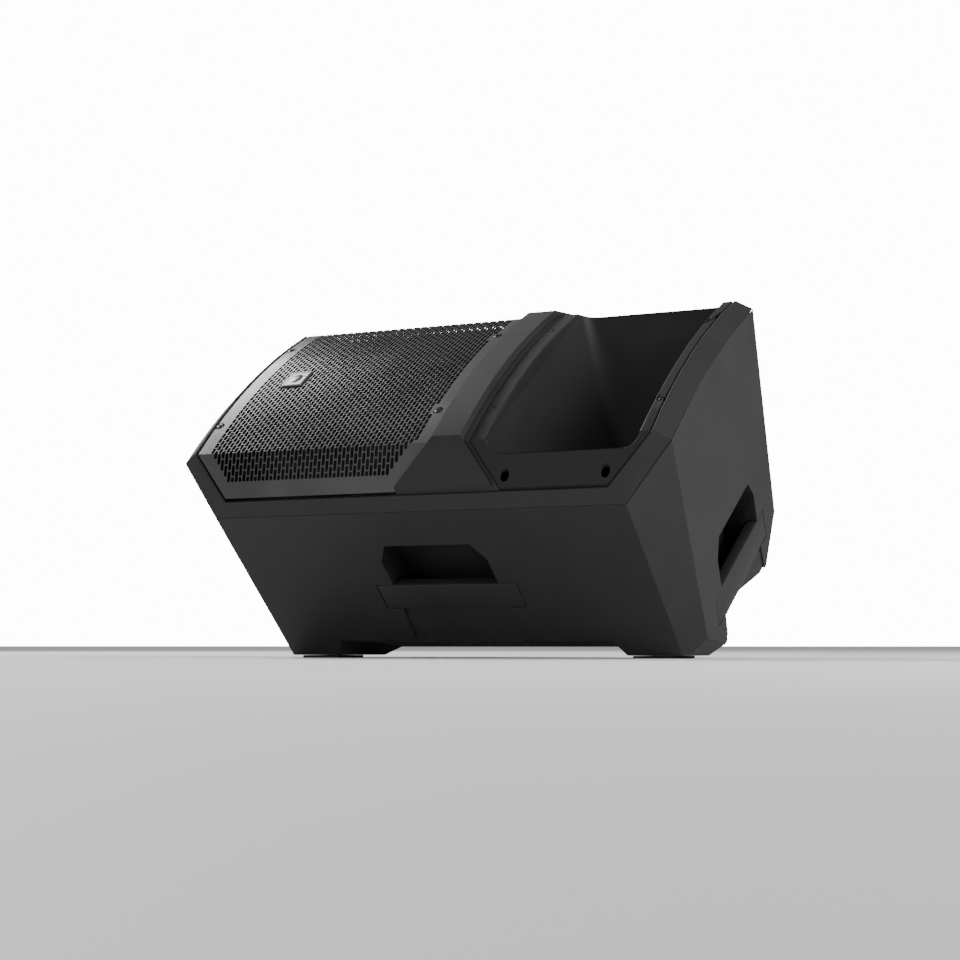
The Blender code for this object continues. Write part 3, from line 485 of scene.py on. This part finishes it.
ferrite = finish("ferrite_and_black_iron", (0.030, 0.030, 0.031), (0.045, 0.045, 0.046), 0.6, 0.8, 0.03)
panel_plastic = finish("amp_panel_plastic", (0.014, 0.014, 0.015), (0.019, 0.019, 0.02), 0.5, 0.7, 0.03)
dress(softened("compression_driver_body", "driver_motor", 0.5), ferrite, "ferrite",
      "compression_driver_body")
dress(softened("compression_driver_cap", "driver_rear_cap", 0.5), panel_plastic, "panel_plastic",
      "compression_driver_cap")


# ---------------------------------------------------------------- woofer
# A 12 inch driver: stamped basket, ferrite motor between zinc plates, pressed paper
# cone and dust cap, rubber half-roll surround, corrugated cloth spider and foam rim.
# The surround and the spider are glued to the cone inside and to the basket outside; each is cut into
# narrow sectors on radial lines.

paper = finish("pressed_cone_paper", (0.010, 0.010, 0.010), (0.022, 0.021, 0.020), 0.85, 1.6, 0.12)
basket = finish("basket_black_paint", (0.016, 0.016, 0.016), (0.022, 0.022, 0.022), 0.4, 0.8, 0.02)
zinc = finish("zinc_plated_steel", (0.42, 0.42, 0.41), (0.56, 0.56, 0.54), 0.36, 1.2, 0.01, metal=1.0)
copper = finish("copper_winding", (0.52, 0.24, 0.13), (0.62, 0.32, 0.18), 0.4, 0.3, 0.05, metal=1.0)
cloth = finish("spider_cloth", (0.30, 0.20, 0.09), (0.42, 0.29, 0.14), 0.9, 0.4, 0.1, specular=0.2)
foam = finish("gasket_foam", (0.015, 0.015, 0.015), (0.024, 0.024, 0.024), 0.95, 0.9, 0.2, specular=0.15)
for node, name, material, slot, body in (
    ("woofer_basket", "basket_stamping", basket, "basket_paint", "cabinet"),
    ("woofer_top_plate", "motor_top_plate", zinc, "zinc_steel", "cabinet"),
    ("woofer_magnet", "motor_magnet", ferrite, "ferrite", "cabinet"),
    ("woofer_back_plate", "motor_back_plate", zinc, "zinc_steel", "cabinet"),
    ("woofer_trim_ring", "rim_foam", foam, "gasket_foam", "cabinet"),
    ("woofer_voice_coil", "coil_winding", copper, "coil_copper", "woofer_moving"),
    ("woofer_cone", "cone_pressing", paper, "cone_paper", "woofer_moving"),
    ("woofer_dust_cap", "dust_cap_pressing", paper, "cone_paper", "woofer_moving"),
):
    dress(softened(node, name, sharp=40.0), material, slot, node, body=body)
SECTORS = 24
turn = LEAN.to_3x3()
hub = Vector((-124.0 * MM, 0.0, 0.0))
for node, name, material, slot, inner, outer in (
    ("woofer_surround", "surround_roll", rubber, "black_rubber", 110.0, 131.0),
    ("woofer_spider", "spider_disc", cloth, "spider_cloth", 37.0, 85.0),
):
    for k in range(SECTORS):
        heading = 360.0 / SECTORS * k
        piece = softened(node, f"{name}_{k + 1}", sharp=60.0)
        bm = bmesh.new()
        bm.from_mesh(piece.data)
        for side, degrees in ((1.0, heading + 180.0 / SECTORS), (-1.0, heading - 180.0 / SECTORS)):
            cut = math.radians(degrees)
            bmesh.ops.bisect_plane(bm, geom=bm.verts[:] + bm.edges[:] + bm.faces[:],
                                   plane_co=LEAN @ hub,
                                   plane_no=turn @ Vector((-math.sin(cut), math.cos(cut), 0.0)) * side,
                                   clear_outer=True)
        bm.to_mesh(piece.data)
        bm.free()
        piece.data.materials.clear()
        piece.data.materials.append(material)
        angle = math.radians(heading)
        out = Vector((math.cos(angle), math.sin(angle), 0.0)) * MM
        start, end = (LEAN @ (hub + out * reach) for reach in (inner, outer))
        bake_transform(piece)
        if k == 0:
            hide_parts(node)


# ---------------------------------------------------------------- amplifier panel
# A painted steel plate in a recess of the rear face, sealed with foam, with the
# heat sink and the two circuit boards fixed behind it.

panel_paint = finish("panel_black_paint", (0.016, 0.016, 0.017), (0.022, 0.022, 0.023), 0.45, 0.6, 0.02)
board = finish("circuit_board", (0.010, 0.06, 0.02), (0.02, 0.10, 0.035), 0.5, 2.0, 0.05)
dress(softened("amp_panel", "amp_panel_plate", 0.5), panel_paint, "panel_paint", "amp_panel")
dress(softened("amp_panel_gasket", "amp_panel_foam"), foam, "gasket_foam", "amp_panel_gasket")
dress(softened("heat_sink", "heat_sink_fins", 0.3), cast, "cast_aluminium", "heat_sink")
dress(softened("amplifier_board", "amplifier_board_parts", 0.3), board, "circuit_board", "amplifier_board")
dress(softened("power_supply_board", "power_supply_parts", 0.3), board, "circuit_board",
      "power_supply_board")
places = [(u, v) for v in (-65.0, 65.0) for u in (-184.0, -112.0, -40.0, 32.0, 104.0)]
places += [(-184.0, 0.0), (104.0, 0.0)]
for i, (u, v) in enumerate(places):
    turn = Matrix.Translation((u, v, -226.9)) @ Matrix.Rotation(math.pi, 4, "X")
    piece = placed(f"amp_panel_screw_{i + 1}", screw_shape(3.4, 1.4, 3.0),
                   turn @ Matrix.Rotation(0.4 * i, 4, "Z"))
    dress(piece, blackened, "blackened_screws")


# ---------------------------------------------------------------- sockets and controls
# Two combined microphone and line inputs with sprung latches, one mix output, a
# display window, a push-and-turn encoder, a rocker power switch and a mains inlet.

nickel = finish("nickel_plate", (0.55, 0.54, 0.51), (0.68, 0.67, 0.64), 0.26, 0.8, 0.005, metal=1.0)
glass = finish("display_glass", (0.004, 0.005, 0.006), (0.007, 0.008, 0.010), 0.08, 2.0, 0.001, coat=1.0)
knob_plastic = finish("knob_black_plastic", (0.010, 0.010, 0.010), (0.016, 0.016, 0.016), 0.42, 0.5, 0.02)
for node, name, radius, material, slot, body in (
    ("input_1_socket", "input_1_shell", 0.5, panel_plastic, "panel_plastic", "cabinet"),
    ("input_2_socket", "input_2_shell", 0.5, panel_plastic, "panel_plastic", "cabinet"),
    ("mix_output_socket", "mix_output_shell", 0.5, panel_plastic, "panel_plastic", "cabinet"),
    ("input_1_latch", "input_1_latch_tab", 0.0, nickel, "nickel", "latch_1"),
    ("input_2_latch", "input_2_latch_tab", 0.0, nickel, "nickel", "latch_2"),
    ("display_window", "display_window_glass", 0.0, glass, "display_glass", "cabinet"),
    ("encoder_body", "encoder_housing", 0.3, zinc, "zinc_steel", "cabinet"),
    ("encoder_shaft", "encoder_spindle", 0.2, zinc, "zinc_steel", "encoder_stem"),
    ("encoder_knob", "encoder_knob_cap", 0.3, knob_plastic, "knob_black", "encoder_cap"),
    ("power_switch_frame", "power_switch_bezel", 0.5, panel_plastic, "panel_plastic", "cabinet"),
    ("power_switch_rocker", "power_switch_key", 0.4, knob_plastic, "knob_black", "rocker"),
    ("mains_inlet", "mains_inlet_shell", 0.6, panel_plastic, "panel_plastic", "cabinet"),
):
    dress(softened(node, name, radius), material, slot, node, body=body)


# ---------------------------------------------------------------- floor, light and camera
# A plain pale studio floor, a softbox high on the woofer side, a panel at the horn end
# and a weak low one in front.

floor_mesh = bpy.data.meshes.new("studio_floor")
corners = [(60.0 * x, 60.0 * y, 0.0) for x, y in ((-1, -1), (1, -1), (1, 1), (-1, 1))]
floor_mesh.from_pydata(corners, [], [(0, 1, 2, 3)])
floor = bpy.data.objects.new("studio_floor", floor_mesh)
bpy.context.scene.collection.objects.link(floor)
floor_paint = finish("studio_floor_paint", (0.88, 0.88, 0.88), (0.91, 0.91, 0.91), 0.7, 3.0, 0.02,
                     specular=0.2, patch=2.0)
floor_mesh.materials.append(floor_paint)

world = bpy.data.worlds.new("studio")
bpy.context.scene.world = world
world.use_nodes = True
sky = world.node_tree
seen = sky.nodes.new("ShaderNodeBackground")
seen.inputs["Color"].default_value = (1.0, 1.0, 1.0, 1.0)
seen.inputs["Strength"].default_value = 14.0
unseen = sky.nodes["Background"]
unseen.inputs["Color"].default_value = (1.0, 1.0, 1.0, 1.0)
unseen.inputs["Strength"].default_value = 0.42
ray = sky.nodes.new("ShaderNodeLightPath")
share = sky.nodes.new("ShaderNodeMixShader")
sky.links.new(ray.outputs["Is Camera Ray"], share.inputs["Fac"])
sky.links.new(unseen.outputs["Background"], share.inputs[1])
sky.links.new(seen.outputs["Background"], share.inputs[2])
sky.links.new(share.outputs["Shader"], sky.nodes["World Output"].inputs["Surface"])

for name, place, size, power in (
    ("softbox_overhead", (-2.1, 0.8, 1.9), (1.1, 1.0), 60.0),
    ("panel_horn_end", (2.4, -0.4, 0.95), (1.3, 1.5), 75.0),
    ("panel_front_low", (-0.7, -2.5, 0.5), (1.4, 0.8), 13.0),
):
    lamp = bpy.data.lights.new(name, "AREA")
    lamp.shape = "RECTANGLE"
    lamp.size, lamp.size_y = size
    lamp.energy = power
    light = bpy.data.objects.new(name, lamp)
    bpy.context.scene.collection.objects.link(light)
    light.location = place
    light.rotation_euler = (Vector((0.0, 0.0, 0.2)) - Vector(place)).to_track_quat("-Z", "Y").to_euler()

lens = bpy.data.cameras.new("camera")
lens.lens = 79.65
lens.sensor_width = 36.0
lens.clip_start = 0.01
camera = bpy.data.objects.new("camera", lens)
bpy.context.scene.collection.objects.link(camera)
camera.location = (1.12485, -2.08729, 0.01353)
camera.rotation_euler = (math.radians(94.4601), math.radians(-0.0059), math.radians(28.7203))
bpy.context.scene.camera = camera
